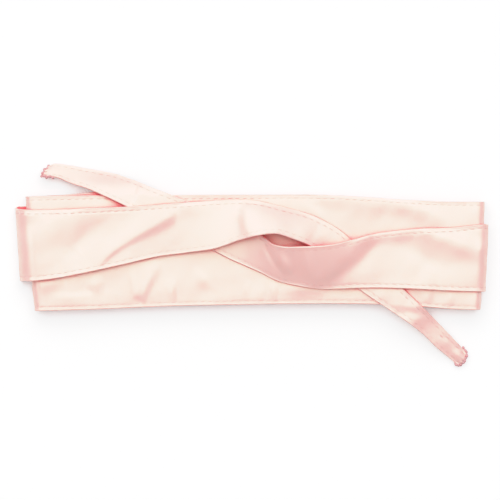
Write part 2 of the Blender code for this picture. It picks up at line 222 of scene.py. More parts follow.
# Soft folds placed one by one, each a run of points. Going along it, the fold falls away
# within one distance on the left and another on the right. A height below zero is a trough.
FoldPoint = namedtuple("FoldPoint", "x y left right height")
LEFT_FOLDS = {
    "long slanted crease": [
        FoldPoint(-92.6, -1.6, 5.0, 2.0, 0.2), FoldPoint(-86.0, 6.2, 5.5, 2.4, 0.9),
        FoldPoint(-75.0, 14.4, 6.5, 2.9, 1.0), FoldPoint(-64.0, 20.8, 7.5, 3.6, 1.3),
        FoldPoint(-56.0, 25.6, 8.5, 4.3, 1.5), FoldPoint(-49.0, 30.0, 9.0, 4.6, 1.3),
        FoldPoint(-45.0, 33.2, 9.0, 4.0, 0.2), FoldPoint(-43.4, 35.0, 9.0, 3.0, 0.0)],
    "rise along the fold and the upper left": [
        FoldPoint(-130.0, -14.0, 6.0, 12.0, 0.7), FoldPoint(-129.6, -2.0, 6.0, 12.0, 1.0),
        FoldPoint(-128.4, 7.0, 6.0, 13.0, 1.3), FoldPoint(-126.6, 14.0, 6.0, 14.0, 1.7),
        FoldPoint(-122.6, 21.6, 5.0, 15.0, 2.2), FoldPoint(-113.6, 29.0, 4.0, 15.0, 2.3),
        FoldPoint(-99.0, 32.8, 3.0, 10.0, 1.6), FoldPoint(-86.0, 34.4, 2.0, 8.0, 1.0),
        FoldPoint(-76.0, 35.2, 2.0, 7.0, 0.4), FoldPoint(-66.0, 35.8, 2.0, 6.0, 0.0)],
    "dip above the long crease": [
        FoldPoint(-112.0, 3.0, 8.0, 6.0, 0.0), FoldPoint(-106.0, 10.0, 8.0, 6.0, -0.5),
        FoldPoint(-97.0, 17.6, 8.0, 6.0, -0.5), FoldPoint(-84.0, 24.0, 8.0, 6.0, 0.0)],
    "dip at the fold": [
        FoldPoint(-141.0, 22.0, 8.0, 8.0, 0.0), FoldPoint(-141.0, 8.0, 9.0, 9.0, -0.5),
        FoldPoint(-141.0, -3.0, 10.0, 10.0, -1.2), FoldPoint(-141.0, -13.0, 10.0, 10.0, -1.6)],
    "ridge under the hem past the crease": [
        FoldPoint(-46.0, 33.8, 1.5, 5.0, 0.0), FoldPoint(-40.0, 34.6, 1.5, 6.0, 0.8),
        FoldPoint(-32.0, 35.4, 1.5, 6.0, 0.9), FoldPoint(-24.0, 36.2, 1.5, 5.0, 0.5),
        FoldPoint(-17.0, 36.9, 1.5, 4.0, 0.0)],
    "ridge under the hem at the left": [
        FoldPoint(-143.0, 29.5, 1.5, 4.5, 0.5), FoldPoint(-132.0, 29.8, 1.5, 4.5, 0.8),
        FoldPoint(-122.0, 30.0, 1.5, 4.5, 0.5), FoldPoint(-112.0, 30.6, 1.5, 4.5, 0.0)],
    "broad ridge before the twist": [
        FoldPoint(-0.6, 15.0, 5.0, 16.0, 0.6), FoldPoint(-1.4, 20.0, 5.0, 16.0, 1.7),
        FoldPoint(-1.8, 30.0, 5.5, 16.0, 2.1), FoldPoint(-1.0, 37.0, 5.5, 16.0, 0.8)],
    "dimple on the tail": [
        FoldPoint(110.0, -39.8, 1.2, 1.2, 0.0), FoldPoint(114.4, -43.4, 1.2, 1.2, -0.35),
        FoldPoint(119.0, -46.6, 1.2, 1.2, 0.0)],
}
RIGHT_FOLDS = {
    "crease across the upper tail": [
        FoldPoint(-65.6, 49.2, 7.0, 1.5, 0.2), FoldPoint(-67.2, 44.4, 7.0, 1.5, 0.8),
        FoldPoint(-69.2, 38.6, 7.0, 1.5, 0.6), FoldPoint(-70.8, 34.0, 7.0, 1.5, 0.0)],
    "groove into the twist": [
        FoldPoint(7.6, 14.0, 2.0, 1.8, 0.0), FoldPoint(9.4, 9.6, 2.0, 1.8, -0.5),
        FoldPoint(13.4, 1.4, 2.0, 1.8, -0.5), FoldPoint(20.4, -9.0, 2.0, 1.8, 0.0)],
    "ridge beside the groove": [
        FoldPoint(16.0, 8.0, 2.5, 3.0, 0.0), FoldPoint(19.4, 1.6, 2.5, 3.0, 1.0),
        FoldPoint(23.6, -6.0, 2.5, 3.0, 0.0)],
    "ridge down the twist": [
        FoldPoint(33.0, 9.0, 3.0, 3.5, 0.0), FoldPoint(34.6, 0.0, 3.0, 3.5, 0.8),
        FoldPoint(37.0, -10.0, 3.0, 3.0, 0.6), FoldPoint(38.0, -14.5, 3.0, 3.0, 0.0)],
    "long ridge out of the twist": [
        FoldPoint(35.0, -14.5, 9.0, 6.0, 0.4), FoldPoint(39.0, -7.0, 10.0, 7.0, 1.2),
        FoldPoint(47.0, 0.5, 12.0, 8.0, 1.5), FoldPoint(56.0, 8.2, 11.0, 8.0, 1.4),
        FoldPoint(66.0, 14.6, 6.0, 7.0, 0.8), FoldPoint(74.0, 18.5, 6.0, 6.0, 0.0)],
    "dip along the long ridge": [
        FoldPoint(41.0, -15.5, 4.0, 5.0, -0.4), FoldPoint(45.6, -11.4, 4.0, 6.0, -0.7),
        FoldPoint(53.4, -6.0, 4.0, 6.0, -0.8), FoldPoint(63.6, 1.4, 4.5, 6.0, -0.6),
        FoldPoint(73.5, 10.0, 5.0, 6.0, -0.3), FoldPoint(80.0, 15.0, 5.0, 6.0, 0.0)],
    "ridge under the upper hem": [
        FoldPoint(57.0, 12.0, 1.5, 4.5, 0.0), FoldPoint(62.0, 14.0, 1.5, 4.5, 0.6),
        FoldPoint(77.0, 18.0, 1.5, 4.5, 1.2), FoldPoint(92.0, 19.8, 1.5, 4.5, 1.2),
        FoldPoint(104.6, 20.6, 1.5, 4.5, 0.7), FoldPoint(113.0, 21.0, 1.5, 4.5, 0.0)],
    "broad ridge at the right": [
        FoldPoint(98.0, 20.4, 3.0, 7.0, 0.0), FoldPoint(105.0, 18.8, 3.0, 7.5, 1.4),
        FoldPoint(118.0, 15.8, 4.0, 8.0, 2.0), FoldPoint(130.0, 11.0, 4.0, 7.5, 1.7),
        FoldPoint(138.0, 7.0, 4.0, 7.0, 0.5)],
    "dip below the broad ridge": [
        FoldPoint(84.0, 14.0, 5.0, 5.0, 0.0), FoldPoint(95.0, 9.0, 5.0, 5.0, -0.6),
        FoldPoint(104.0, 3.0, 5.0, 5.0, -0.7), FoldPoint(126.0, -1.0, 5.0, 5.0, 0.0)],
}
WIDE_FOLDS = {
    "slanted crease": [
        FoldPoint(-66.4, -22.5, 4.0, 2.8, 0.2), FoldPoint(-65.4, -18.0, 4.0, 3.0, 0.8),
        FoldPoint(-63.4, -11.6, 4.5, 3.4, 1.1), FoldPoint(-60.4, -5.6, 5.0, 4.2, 1.1),
        FoldPoint(-57.8, 0.0, 5.0, 4.4, 0.6), FoldPoint(-56.0, 4.0, 5.0, 4.0, 0.0)],
    "faint ridge left of the crease": [
        FoldPoint(-70.0, -21.6, 2.0, 2.4, 0.0), FoldPoint(-71.6, -11.0, 2.0, 2.4, 0.4),
        FoldPoint(-73.2, -1.0, 2.0, 2.4, 0.0)],
    "short upright ridge": [
        FoldPoint(-47.4, -23.0, 3.0, 1.8, 0.2), FoldPoint(-47.6, -17.0, 3.0, 2.0, 0.6),
        FoldPoint(-48.4, -8.0, 3.0, 2.0, 0.0)],
    "dip at the crease's foot": [
        FoldPoint(-72.5, -21.6, 2.4, 2.4, 0.0), FoldPoint(-68.0, -21.8, 2.4, 2.4, -0.4),
        FoldPoint(-64.6, -21.6, 2.4, 2.4, 0.0)],
    "ridge over the lower hem": [
        FoldPoint(-122.0, -19.0, 2.0, 5.0, 0.0), FoldPoint(-112.0, -19.5, 2.0, 5.0, 0.4),
        FoldPoint(-100.0, -19.0, 2.0, 5.0, 0.3), FoldPoint(-92.0, -18.0, 2.0, 5.0, 0.0)],
    "low swelling at the left": [
        FoldPoint(-97.6, -16.0, 4.0, 4.5, 0.0), FoldPoint(-94.0, -12.0, 4.0, 4.5, 0.6),
        FoldPoint(-88.6, -8.0, 4.0, 4.5, 0.0)],
    "low ridge by the left fold": [
        FoldPoint(-128.0, -12.0, 3.0, 4.0, 0.4), FoldPoint(-120.0, -11.0, 3.0, 4.0, 0.5),
        FoldPoint(-112.0, -8.0, 3.0, 4.0, 0.0)],
    "faint slanted ridge": [
        FoldPoint(-36.0, -2.0, 3.0, 4.0, 0.0), FoldPoint(-30.0, -8.0, 3.0, 4.0, 0.4),
        FoldPoint(-22.0, -16.0, 3.0, 4.0, 0.0)],
    "ridge below the twist": [
        FoldPoint(17.0, -13.0, 3.0, 5.0, 0.0), FoldPoint(26.0, -13.8, 3.0, 5.0, 0.7),
        FoldPoint(39.0, -14.6, 3.0, 5.0, 0.7), FoldPoint(48.0, -14.4, 3.0, 5.0, 0.0)],
    "first pucker": [
        FoldPoint(13.4, -23.5, 1.8, 1.8, 0.2), FoldPoint(13.4, -17.0, 1.8, 1.8, 0.45),
        FoldPoint(13.9, -8.0, 1.8, 1.8, 0.0)],
    "second pucker": [
        FoldPoint(8.4, -22.0, 1.6, 1.6, 0.0), FoldPoint(8.8, -16.0, 1.6, 1.6, -0.35),
        FoldPoint(9.0, -8.0, 1.6, 1.6, 0.0)],
    "third pucker": [
        FoldPoint(-3.4, -22.0, 1.8, 1.8, 0.0), FoldPoint(-3.0, -16.0, 1.8, 1.8, 0.35),
        FoldPoint(-2.4, -8.0, 1.8, 1.8, 0.0)],
    "pucker right of the tail": [
        FoldPoint(104.4, -25.0, 3.0, 3.0, 0.2), FoldPoint(105.4, -19.0, 3.0, 3.0, 0.6),
        FoldPoint(107.4, -13.0, 3.0, 3.0, 0.0)],
    "pucker nearer the right fold": [
        FoldPoint(118.0, -26.0, 2.4, 3.0, 0.2), FoldPoint(119.0, -20.0, 2.4, 3.0, 0.6),
        FoldPoint(121.0, -13.0, 2.4, 3.0, 0.0)],
    "ridge under the upper hem": [
        FoldPoint(34.0, 41.4, 1.5, 6.0, 0.0), FoldPoint(44.0, 41.0, 1.5, 6.5, 0.8),
        FoldPoint(56.0, 40.2, 1.5, 7.0, 1.1), FoldPoint(77.0, 38.6, 1.5, 7.0, 1.1),
        FoldPoint(90.0, 37.6, 1.5, 6.0, 0.6), FoldPoint(98.0, 37.0, 1.5, 6.0, 0.0)],
    "faint ridge beside the upper crossing": [
        FoldPoint(27.0, 39.0, 3.0, 3.0, 0.0), FoldPoint(37.0, 32.0, 3.0, 3.0, 0.5),
        FoldPoint(46.0, 25.0, 3.0, 3.0, 0.0)],
    "broad ridge at the upper right": [
        FoldPoint(82.0, 37.5, 2.5, 7.0, 0.0), FoldPoint(91.0, 36.0, 3.0, 7.0, 0.9),
        FoldPoint(101.0, 33.4, 3.0, 7.5, 1.4), FoldPoint(108.0, 30.0, 4.0, 7.0, 1.0),
        FoldPoint(115.0, 25.0, 5.0, 6.0, 0.4), FoldPoint(121.0, 20.0, 5.0, 5.0, 0.0)],
}

# The left tail comes down from the wide band in soft steps: height by the run along them
StepRow = namedtuple("StepRow", "run height")
LEFT_STEPS = [
    StepRow(-4.0, 10.9),
    StepRow(4.0, 10.5),
    StepRow(7.0, 10.3),
    StepRow(10.5, 9.7),
    StepRow(19.0, 8.8),
    StepRow(24.0, 6.9),
    StepRow(41.0, 3.6),
    StepRow(46.5, 2.0),
    StepRow(55.0, 0.8),
]
STEP_START = (85.0, -20.0)
STEP_HEADING = (0.5, -0.87)
STEP_BLEND = 6.0

# How closely the placed folds are followed, and how far one reaches in widths of its own
FOLD_SAMPLING = 0.4
FOLD_REACH = 2.4

# Slight unevenness of the cloth, all over and along its hems
Ripple = namedtuple("Ripple", "length height seed")
BROAD_RIPPLES = [Ripple(46.0, 0.12, 3), Ripple(21.0, 0.09, 5), Ripple(11.0, 0.05, 9)]
HEM_RIPPLES = [Ripple(9.5, 0.10, 7), Ripple(5.2, 0.06, 8)]
HEM_RIPPLE_REACH = 4.0
RIPPLE_SINES = 5
RIPPLE_SPREAD = (0.75, 1.35)
RIPPLE_SHARE = 2.2

# The tail ends are gathered, with a rounded end and an overlocked edge
BULGE_LENGTH = 9.0
PUFF_PLACE = 4.2
PUFF_LENGTH = 3.6
WAVE_LENGTH = 3.5
WAVE_HEIGHT = 0.5
WAVES = 3.5
OVERLOCK_RADIUS = 0.95
OVERLOCK_SIDES = 12
OVERLOCK_BEAD = 1.8
POINTS_A_BEAD = 8
BEAD_WAIST = 0.45
OVERLOCK_DRIFT = 0.3
DRIFT_TURN_X = 2.4
DRIFT_TURN_Y = 3.1
OVERLOCK_BEYOND = 0.4
OVERLOCK_CLEARANCE = 0.05

# Hidden layers from the bottom up. The lowest ones lie between the wide band's legs.
LAYERS = 6
LEG_LAYERS = 2
LAYER_PITCH = 8.5 / LAYERS
LAYER_WIDTH = 62.0
LAYER_ROWS = 132
FLAT_LAYER_ROWS = 112
LAYER_TURN_ROWS = 9
LAYER_TURN_REACH = 0.9 * LAYER_PITCH
LayerEdge = namedtuple("LayerEdge", "upper_inset lower_inset swing phase")
LAYER_EDGES = [
    LayerEdge(3.2, 2.2, 0.8, 0.0),
    LayerEdge(1.8, 3.0, 0.7, 1.9),
    LayerEdge(3.6, 1.6, 0.8, 3.1),
    LayerEdge(2.2, 3.2, 0.6, 4.4),
    LayerEdge(3.0, 2.0, 0.7, 2.4),
    LayerEdge(1.4, 1.8, 0.5, 5.2),
]
SWING_LENGTH = 130.0

# The top layer shows past the wide band's upper edge where its inset is below zero
PeekRow = namedtuple("PeekRow", "x inset")
PEEK_ROWS = [
    PeekRow(-136.0, -0.1),
    PeekRow(-115.0, -0.5),
    PeekRow(-93.0, -1.9),
    PeekRow(-76.0, -2.5),
    PeekRow(-60.0, -1.6),
    PeekRow(-46.0, 0.6),
    PeekRow(-30.0, 1.4),
    PeekRow(136.0, 1.4),
]

# Cloth and its sewing thread, with distances in metres. The second colour of each cloth is painted shade: the
# redder colour it is painted with where other cloth closes in on it.
Cloth = namedtuple("Cloth", "name colour deep_colour roughness ior tint glow")
SATIN = Cloth("blush_satin", colour=(0.74, 0.425, 0.415), deep_colour=(1.0, 0.07, 0.13),
              roughness=0.36, ior=2.28, tint=(0.97, 1.0, 0.73), glow=0.30)
# Painted shade: the sewing thread is coloured darker than the satin, to stand for the shade in the groove it
# sinks into
THREAD = Cloth("blush_thread", colour=(0.62, 0.38, 0.35), deep_colour=(0.62, 0.38, 0.35),
               roughness=0.50, ior=1.8, tint=(1.0, 1.0, 1.0), glow=0.0)
OVERLOCK_THREAD = Cloth("overlock_thread", colour=(0.52, 0.25, 0.26), deep_colour=(0.52, 0.25, 0.26),
                        roughness=0.45, ior=1.8, tint=(1.0, 1.0, 1.0), glow=0.2)
# Painted shade: GLOSS_ENDS turn the gloss down, and the CLOSENESS and UPWARD rows below set where the colour
# is painted redder, where other cloth closes in on cloth that faces up
GLOSS_ENDS = (0.5, 0.15)
GLOW_RADIUS = (1.0, 0.30, 0.26)
GLOW_SCALE = 0.0016
CLOSENESS_SAMPLES = 12
CLOSENESS_DISTANCE = 0.014
CLOSENESS_ENDS = (0.72, 0.32)
UPWARD_ENDS = (0.2, 0.8)
THREAD_SCALE = 1100.0
THREAD_DISTORTION = 0.6
THREAD_STRENGTH = 0.05
THREAD_HEIGHT = 0.0001

# Floor, in metres, and the light: its strengths, its direction and the angles where it fades
FLOOR_REACH = 4.0
PAPER_WHITE = 0.88
PAPER_ROUGHNESS = 0.9
PAPER_GLOW = 0.12
TENT_LIGHT = 0.48
MAIN_LIGHT = 3.0
LIGHT_DIRECTION = (-0.06, 0.47, 0.88)
LIGHT_CORE = 26
LIGHT_RIM = 54

CurvePoint = namedtuple("CurvePoint", "light shown")
SHOULDER = [CurvePoint(0.2, 0.2), CurvePoint(0.4, 0.4), CurvePoint(0.6, 0.6), CurvePoint(0.8, 0.8),
            CurvePoint(0.9, 0.865), CurvePoint(1.0, 0.90), CurvePoint(1.2, 0.94)]
WHITE_LIGHT = 1.4

# The photograph's middle pixel in this frame, and the height at which a pixel has its size
PHOTO_CENTRE = (-1.05, 8.76)
CAMERA_HEIGHT = 2500.0
IN_SCALE_HEIGHT = 10.0
SENSOR = 36.0
CLIP_END = 20.0


def lerp(start, end, share):
    return start + (end - start) * share


def smooth_step(share):
    share = np.clip(share, 0.0, 1.0)
    return share * share * (3.0 - 2.0 * share)


def unit(vectors):
    return vectors / np.maximum(np.linalg.norm(vectors, axis=-1, keepdims=True), 1e-9)


def through(knots, values, at):
    """Values at some places on the smooth curve through the rows' values."""
    knots = np.asarray(knots, dtype=float)
    values = np.asarray(values, dtype=float)
    at = np.asarray(at, dtype=float)
    slopes = np.gradient(values, knots, axis=0)
    left = np.clip(np.searchsorted(knots, at) - 1, 0, len(knots) - 2)
    span = knots[left + 1] - knots[left]
    t = (at - knots[left]) / span
    if values.ndim > 1:
        t, span = t[..., None], span[..., None]
    return ((2 * t**3 - 3 * t**2 + 1) * values[left] + (t**3 - 2 * t**2 + t) * slopes[left] * span
            + (3 * t**2 - 2 * t**3) * values[left + 1] + (t**3 - t**2) * slopes[left + 1] * span)


def run_lengths(points):
    """Length run along a line of points, at each of them."""
    steps = np.linalg.norm(np.diff(points, axis=0), axis=-1)
    return np.concatenate([[0.0], np.cumsum(steps)])


def at_runs(line, runs, at):
    """Points or directions of a line, read between its own ones at some runs along it."""
    return np.stack([np.interp(at, runs, line[:, axis]) for axis in range(3)], axis=-1)


def wide_edges(x):
    """Upper and lower edge of the wide band at some places along it."""
    edges = through([row.x for row in WIDE_ROWS], [(row.upper, row.lower) for row in WIDE_ROWS], x)
    return edges[..., 0], edges[..., 1]


def wide_height(x, y):
    """Height of the wide band, which is a little fuller inside its hems."""
    upper, lower = wide_edges(x)
    share = np.minimum(np.abs(y - (upper + lower) / 2) / ((upper - lower) / 2), 1.0)
    return WIDE_EDGE_HEIGHT + WIDE_CROWN * (1.0 - share**CROWN_FLATNESS)


def drape_share(share):
    """Share of the way down, nearly even along the drape."""
    share = np.clip(share, 0.0, 1.0)
    return share - DRAPE_ROUNDING * np.sin(2 * math.pi * share) / (2 * math.pi)


def lying_height(x, y, drape_length):
    """Height of a sheet that lies on the wide band and slopes down to the surface beyond it."""
    upper, lower = wide_edges(x)
    beyond = np.maximum(np.maximum(y - upper, lower - y), 0.0)
    on_top = wide_height(x, y) + np.maximum(relief(WIDE_FOLDS, x, y), 0.0) + PITCH
    return lerp(on_top, FLOOR_HEIGHT, drape_share(beyond / drape_length))


def stepped_height(x, y, drape_length):
    """Height of the left band, whose tail leaves the wide band and comes down in steps."""
    lower = wide_edges(x)[1]
    beyond = np.maximum(lower - y, 0.0)
    run = (x - STEP_START[0]) * STEP_HEADING[0] + (y - STEP_START[1]) * STEP_HEADING[1]
    run = np.clip(run, LEFT_STEPS[0].run, LEFT_STEPS[-1].run)
    steps = through([row.run for row in LEFT_STEPS], [row.height for row in LEFT_STEPS], run)
    return lerp(lying_height(x, y, drape_length), steps, smooth_step(beyond / STEP_BLEND))


def leg_height(y, side):
    """Height of the wide band's leg, which lies on a narrow band's leg and sinks beyond it."""
    band = LEFT_BAND[0] if side < 0 else RIGHT_BAND[0]
    beyond = np.maximum(y - band.upper_y, band.lower_y - y) - LEG_DRAPE_START
    return lerp(SECOND_HEIGHT, FLOOR_HEIGHT, smooth_step(beyond / LEG_DRAPE_LENGTH))


def relief(folds, x, y):
    """Height of the placed ridges and troughs at some points."""
    height = np.zeros_like(x)
    for fold in folds.values():
        points = np.array(fold)
        knots = run_lengths(points[:, :2])
        places = np.linspace(0.0, knots[-1], int(knots[-1] / FOLD_SAMPLING) + 2)
        line = FoldPoint(*through(knots, points, places).T)
        ahead_x, ahead_y = np.gradient(line.x), np.gradient(line.y)
        reach = FOLD_REACH * max(line.left.max(), line.right.max())
        near = ((x > line.x.min() - reach) & (x < line.x.max() + reach)
                & (y > line.y.min() - reach) & (y < line.y.max() + reach))
        if not near.any():
            continue
        gap_x = x[near][:, None] - line.x
        gap_y = y[near][:, None] - line.y
        squared = gap_x**2 + gap_y**2
        closest = np.argmin(squared, axis=1)
        every = np.arange(len(closest))
        side = ahead_x[closest] * gap_y[every, closest] - ahead_y[closest] * gap_x[every, closest]
        width = np.where(side > 0, line.left[closest], line.right[closest])
        height[near] += line.height[closest] * np.exp(-squared[every, closest] / width**2)
    return height


def soft_floor(values, lowest):
    """The values, held up smoothly above a lowest one."""
    above = values - lowest
    return lowest + 0.5 * (above + np.sqrt(above**2 + FLOOR_SOFTNESS))


def ripple(rows, x, y):
    """Soft uneven waves: a few sines in seeded directions for each row."""
    height = np.zeros_like(x)
    for row in rows:
        draw = np.random.default_rng(row.seed)
        for _ in range(RIPPLE_SINES):
            turn = draw.uniform(0, 2 * math.pi)
            number = 2 * math.pi / (row.length * draw.uniform(*RIPPLE_SPREAD))
            phase = draw.uniform(0, 2 * math.pi)
            wave = np.sin((x * math.cos(turn) + y * math.sin(turn)) * number + phase)
            height += wave * row.height / RIPPLE_SHARE
    return height


def hem_columns(inset):
    """Distances of the close columns along a hem whose topstitches lie at an inset."""
    return [0.0, 0.15, 0.35, 0.6, 0.8, 1.0, 1.3, inset - GROOVE_WIDTH, inset, inset + GROOVE_WIDTH,
            inset + 0.9, inset + 1.7, HEM_WIDTH]


def column_shares(width, inset):
    """Shares across a band: close columns along the two hems and even ones between."""
    columns = np.array(hem_columns(inset))
    inner = max(int((float(np.max(width)) - 2 * HEM_WIDTH) / INNER_STEP), FEWEST_INNER)
    squeeze = np.minimum(1.0, HEM_SHARE * width / HEM_WIDTH)[:, None]
    hem = columns[None, :] * squeeze / width[:, None]
    start, end = hem[:, -1:], 1.0 - hem[:, -1:]
    middle = start + (end - start) * np.linspace(0.0, 1.0, inner + 1)[None, 1:-1]
    return np.concatenate([hem, middle, 1.0 - hem[:, ::-1]], axis=1)


def turned(fold, share, angle, top, bottom, turn, reach):
    """Points on a fold, from its top (angle 0) round to its bottom (half a turn)."""
    edge_x = lerp(fold.upper_x, fold.lower_x, share)
    upper_half = angle <= math.pi / 2
    across = fold.reach if upper_half else reach
    rise = top - turn if upper_half else turn - bottom
    return edge_x + fold.side * across * (math.sin(angle) - 1.0), turn + rise * math.cos(angle)


def band_rows(sections):
    """Rows at even steps along a band, with each one's distance to the tail end."""
    table = np.array(sections)
    middles = (table[:, 0:2] + table[:, 2:4]) / 2
    knots = run_lengths(middles)
    places = np.linspace(0.0, knots[-1], round(knots[-1] / ROW_STEP) + 1)
    return Section(*through(knots, table, places).T[..., None]), knots[-1] - places


def across_lift(rows, share):
    """Lift of each row, on the parabola through its upper, middle and lower lift."""
    return (rows.upper_lift * (1 - share) * (1 - 2 * share) + rows.middle_lift * 4 * share * (1 - share)
            + rows.lower_lift * share * (2 * share - 1))


def gathers(share, to_end, puff):
    """Lift of a tail's end: one puff across it, and small waves at the very edge."""
    hump = puff * np.exp(-((to_end - PUFF_PLACE) / PUFF_LENGTH) ** 2)[:, None] * np.sin(math.pi * share) ** 2
    near = WAVE_HEIGHT * smooth_step(1.0 - to_end / WAVE_LENGTH)[:, None]
    return hump + near * (0.5 - 0.5 * np.cos(2 * math.pi * WAVES * share))


def end_bulge(rows, share, to_end, bulge):
    """Shift of the last rows along the band, so that its end is rounded."""
    middle = np.concatenate([rows.upper_x + rows.lower_x, rows.upper_y + rows.lower_y], axis=1) / 2
    heading = unit(np.gradient(middle, axis=0))
    near = smooth_step(1.0 - to_end / BULGE_LENGTH)[:, None]
    push = bulge * near * np.sin(math.pi * share)
    return heading[:, None, :] * push[..., None]


def band_leg(form, share, y_line, top):
    """Rows of a narrow band's short leg on the surface, then round its fold up to the top."""
    fold = form.fold
    turn = (top + FLOOR_HEIGHT) / 2 if form.turn_height is None else form.turn_height
    turn_x = lerp(fold.upper_x, fold.lower_x, share) - fold.side * form.turn_reach
    slant = form.leg_shift * (1 - share)
    rows = []
    for step in np.linspace(0.0, 1.0, BAND_LEG_ROWS, endpoint=False):
        x_line = lerp(fold.side * LEG_END, turn_x, step)
        rows.append((x_line, y_line + slant, FLOOR_HEIGHT))
    for step in np.linspace(0.0, 1.0, BAND_TURN_ROWS, endpoint=False):
        angle = math.pi * (1.0 - step)
        x_line, z_line = turned(fold, share, angle, top, FLOOR_HEIGHT, turn, form.turn_reach)
        rows.append((x_line, y_line + slant * (0.5 - 0.5 * math.cos(angle)), z_line))
    return np.array([np.stack(np.broadcast_arrays(*row), axis=-1) for row in rows])


def band_surface(form):
    """Middle surface of a narrow band, from its leg round the fold and over the top to its tail."""
    rows, to_end = band_rows(form.sections)
    width = np.hypot(rows.upper_x - rows.lower_x, rows.upper_y - rows.lower_y)[:, 0]
    share = column_shares(width, form.inset)
    shift = end_bulge(rows, share, to_end, form.bulge)
    x = lerp(rows.upper_x, rows.lower_x, share) + shift[..., 0]
    y = lerp(rows.upper_y, rows.lower_y, share) + shift[..., 1]
    lift = soft_floor(across_lift(rows, share) + relief(form.folds, x, y), LOWEST_LIFT)
    z = form.height(x, y, form.drape_length) + lift + gathers(share, to_end, form.puff)
    start_y = lerp(rows.upper_y[0], rows.lower_y[0], share[0])
    leg = band_leg(form, share[0], start_y, z[0])
    return np.concatenate([leg, np.stack([x, y, z], axis=-1)])


def wide_end(fold, share):
    """Rows of the wide band at one end, from the tip of its leg round the fold to the top."""
    turn_x = lerp(fold.upper_x, fold.lower_x, share) - fold.side * fold.reach
    upper, lower = wide_edges(turn_x)
    y_line = lerp(upper, lower, share)
    top, bottom = wide_height(turn_x, y_line), leg_height(y_line, fold.side)
    rows = []
    for step in np.linspace(0.0, 1.0, WIDE_LEG_ROWS, endpoint=False):
        x_line = lerp(fold.side * LEG_END, turn_x, step)
        leg_upper, leg_lower = wide_edges(x_line)
        tuck = LEG_TUCK * smooth_step((1.0 - step) * 2)
        leg_y = lerp(leg_upper - tuck, leg_lower + tuck, share)
        rows.append(np.stack([x_line, leg_y, bottom], axis=-1))
    for step in np.linspace(0.0, 1.0, WIDE_TURN_ROWS):
        angle = math.pi * (1.0 - step)
        x_line, z_line = turned(fold, share, angle, top, bottom, (top + bottom) / 2, fold.reach)
        rows.append(np.stack([x_line, y_line, z_line], axis=-1))
    return rows


def wide_surface():
    """Middle surface of the wide band, from its left leg over the top to its right leg."""
    share = column_shares(np.array([WIDE_MIDDLE.upper - WIDE_MIDDLE.lower]), WIDE_INSET)[0]
    left_x, right_x = straight_ends(share)
    count = round((WIDE_RIGHT.upper_x - WIDE_LEFT.upper_x) / ROW_STEP)
    top_rows = []
    for step in range(1, count):
        x = lerp(left_x, right_x, step / count)
        upper, lower = wide_edges(x)
        y = lerp(upper, lower, share)
        z = wide_height(x, y) + soft_floor(relief(WIDE_FOLDS, x, y), LOWEST_LIFT)
        top_rows.append(np.stack([x, y, z], axis=-1))
    return np.array(wide_end(WIDE_LEFT, share) + top_rows + wide_end(WIDE_RIGHT, share)[::-1])


def straight_ends(share):
    """Where the wide band stops being flat, at its left and at its right end."""
    left_x = lerp(WIDE_LEFT.upper_x, WIDE_LEFT.lower_x, share) + WIDE_LEFT.reach
    right_x = lerp(WIDE_RIGHT.upper_x, WIDE_RIGHT.lower_x, share) - WIDE_RIGHT.reach
    return left_x, right_x


def layer_inset(side, layer, x):
    """How far a hidden layer's long edge lies inside the wide band's."""
    edge = LAYER_EDGES[layer]
    if side == "upper" and layer == LAYERS - 1:
        return through([row.x for row in PEEK_ROWS], [row.inset for row in PEEK_ROWS], x)
    inset = edge.upper_inset if side == "upper" else edge.lower_inset
    return inset + edge.swing * np.sin(2 * math.pi * x / SWING_LENGTH + edge.phase)


def layer_points(layer, x, share, height):
    """One row of points across a hidden layer."""
    upper, lower = wide_edges(x)
    upper = upper - layer_inset("upper", layer, x)
    lower = lower + layer_inset("lower", layer, x)
    return np.stack([x, lerp(upper, lower, share), np.full_like(x, height)], axis=-1)


def layer_share():
    """Shares across a hidden layer: the hems' close columns and a few between."""
    hem = np.array(hem_columns(WIDE_INSET)) / LAYER_WIDTH
    return np.concatenate([hem, np.linspace(hem[-1], 1 - hem[-1], 6)[1:-1], 1 - hem[::-1]])


def layer_height(layer):
    return (layer + 0.5) * LAYER_PITCH


def hidden_surface():
    """Hidden lengths as one strip that turns back at each end, from the top one down."""
    share = layer_share()
    left, right = straight_ends(share)
    rows = []
    for layer in range(LAYERS - 1, LEG_LAYERS - 1, -1):
        heading = 1 if (LAYERS - layer) % 2 == 0 else -1
        start, end = (right, left) if heading < 0 else (left, right)
        for step in np.linspace(0.0, 1.0, LAYER_ROWS):
            rows.append(layer_points(layer, lerp(start, end, step), share, layer_height(layer)))
        if layer == LEG_LAYERS:
            break
        here = layer_points(layer, end, share, layer_height(layer))
        there = layer_points(layer - 1, end, share, layer_height(layer - 1))
        for angle in np.linspace(0.0, math.pi, LAYER_TURN_ROWS)[1:-1]:
            row = lerp(here, there, 0.5 - 0.5 * math.cos(angle))
            row[:, 0] += heading * LAYER_TURN_REACH * math.sin(angle)
            rows.append(row)
    return np.array(rows)


def flat_layer(layer):
    """A hidden length that lies flat between the wide band's legs."""
    share = layer_share()
    end = LEG_END - 2 * GAP
    places = np.linspace(-end, end, FLAT_LAYER_ROWS)
    return np.array([layer_points(layer, np.full_like(share, x), share, layer_height(layer))
                     for x in places])


def surface_normals(surface, facing):
    """Unit normals of a grid of points, on the side that faces up on the lying part."""
    along = np.gradient(surface, axis=0)
    across = np.gradient(surface, axis=1)
    return unit(np.cross(along, across)) * facing


def hem_pull(rows, x):
    """Pull of the topstitches along the upper and the lower hem at some places."""
    knots = [row.x for row in rows]
    return (np.interp(x, knots, [row.upper for row in rows]),
            np.interp(x, knots, [row.lower for row in rows]))


def hem_distances(surface):
    """Distance of each grid point from the upper and from the lower edge of its row."""
    steps = np.linalg.norm(np.diff(surface, axis=1), axis=-1)
    run = np.concatenate([np.zeros((len(surface), 1)), np.cumsum(steps, axis=1)], axis=1)
    return run, run[:, -1:] - run


